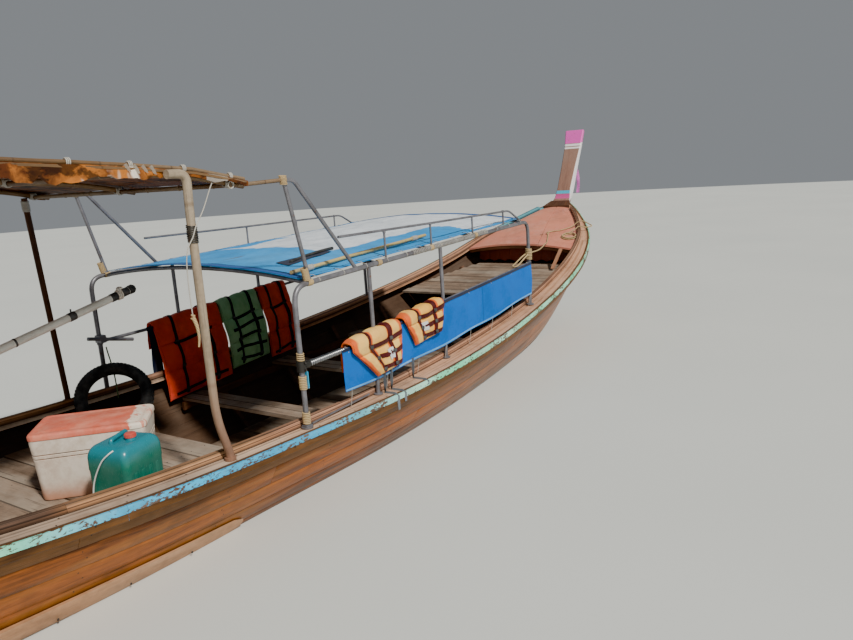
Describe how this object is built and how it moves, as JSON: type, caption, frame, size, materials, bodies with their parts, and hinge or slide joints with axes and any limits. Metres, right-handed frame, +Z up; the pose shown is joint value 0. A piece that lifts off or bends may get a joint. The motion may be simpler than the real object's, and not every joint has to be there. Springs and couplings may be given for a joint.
{
  "type": "longtail boat",
  "caption": "Wooden longtail boat with upswept stem, tube-framed canopy, helm roof and a swivelling engine on a long tail shaft.",
  "frame": {"origin": "on the waterline, on the centreline, amidships of the hull", "axes": "+X to the bow, +Y to port, +Z up"},
  "size_m": [14.8354, 2.413, 2.964],
  "materials": {
    "varnished_planks": "worn varnish over orange-brown planks",
    "weathered_wood": "bare grey-brown boards",
    "dark_wood": "dark oiled timber",
    "rail_wood": "faded reddish board",
    "turquoise_paint": "flaking turquoise and mint paint",
    "salmon_paint": "faded salmon paint",
    "maroon_paint": "dark maroon paint",
    "grey_tube": "weathered grey steel tube",
    "dark_iron": "oily dark iron",
    "blue_tarpaulin": "faded blue woven sheet",
    "roof_sheet": "brown woven sheet over battens",
    "white_pipe": "scuffed white pipe",
    "engine_paint": "oily blue-grey engine paint",
    "bronze": "cast bronze",
    "white_box": "stained off-white shell",
    "orange_lid": "sun-faded orange",
    "green_can": "dark green moulded plastic",
    "black_rubber": "matt black rubber",
    "orange_jacket": "orange nylon with dark straps",
    "green_jacket": "pale green nylon with black straps",
    "tan_rope": "laid tan rope",
    "bamboo": "pale weathered pole"
  },
  "bodies": {
    "hull": {"bottom-planking": "varnished_planks", "bow-bulkhead": "maroon_paint", "bow-deck": "weathered_wood", "bow-rope-coil": "tan_rope", "bow-rope-hank": "tan_rope", "bow-rope": "tan_rope", "canopy-bars": "grey_tube", "canopy-frame-port": "grey_tube", "canopy-frame-starboard": "grey_tube", "canopy-pole": "bamboo", "canopy-tarpaulin": "blue_tarpaulin", "canopy-top-rail-port": "grey_tube", "canopy-top-rail-starboard": "grey_tube", "cool-box-lid": "orange_lid", "cool-box": "white_box", "fender-cord": "tan_rope", "floor-boards": "weathered_wood", "foredeck": "salmon_paint", "frames-aft": "weathered_wood", "frames-fore": "weathered_wood", "frames-mid": "weathered_wood", "fuel-can": "green_can", "helm-deck": "weathered_wood", "inner-rail-port": "rail_wood", "inner-rail-starboard": "rail_wood", "keel-and-stem": "dark_wood", "life-jacket-far-aft": "orange_jacket", "life-jacket-far-fore": "orange_jacket", "life-jacket-far-mid": "green_jacket", "life-jacket-near-aft": "orange_jacket", "life-jacket-near-mid": "orange_jacket", "ring-fender": "black_rubber", "roof-cord": "tan_rope", "roof-panel": "roof_sheet", "roof-post-aft-port": "weathered_wood", "roof-post-aft-starboard": "weathered_wood", "roof-post-port": "weathered_wood", "roof-post-starboard": "bamboo", "roof-rack": "bamboo", "rub-strake-port": "turquoise_paint", "rub-strake-starboard": "turquoise_paint", "side-cloth": "blue_tarpaulin", "side-planking-aft-port": "varnished_planks", "side-planking-aft-starboard": "varnished_planks", "side-planking-fore-port": "varnished_planks", "side-planking-fore-starboard": "varnished_planks", "stern-beam": "dark_wood", "stern-plank-port": "rail_wood", "stern-plank-starboard": "rail_wood", "thwarts": "weathered_wood", "transom": "varnished_planks", "washboard-port": "weathered_wood", "washboard-starboard": "weathered_wood"},
    "swivel": {"swivel-fork": "dark_iron"},
    "engine": {"engine-cradle": "dark_iron", "engine-block": "engine_paint", "exhaust-pipe": "dark_iron", "tiller-pipe": "white_pipe", "tail-tube": "dark_iron"},
    "propeller": {"propeller": "bronze"}
  },
  "joints": [
    {"name": "engine_swivel", "type": "hinge", "parent": "hull", "child": "swivel", "pos_m": [-5.12, 0, 0.76], "axis": [0, 0, 1], "range_deg": [-18, 18]},
    {"name": "engine_tilt", "type": "hinge", "parent": "swivel", "child": "engine", "pos_m": [-5.12, 0, 0.985], "axis": [0, 1, 0], "range_deg": [-6, 11]},
    {"name": "propeller_spin", "type": "hinge", "parent": "engine", "child": "propeller", "pos_m": [-9.11199, 0, -0.14928], "axis": [0.9613, 0, 0.2756], "continuous": true}
  ]
}
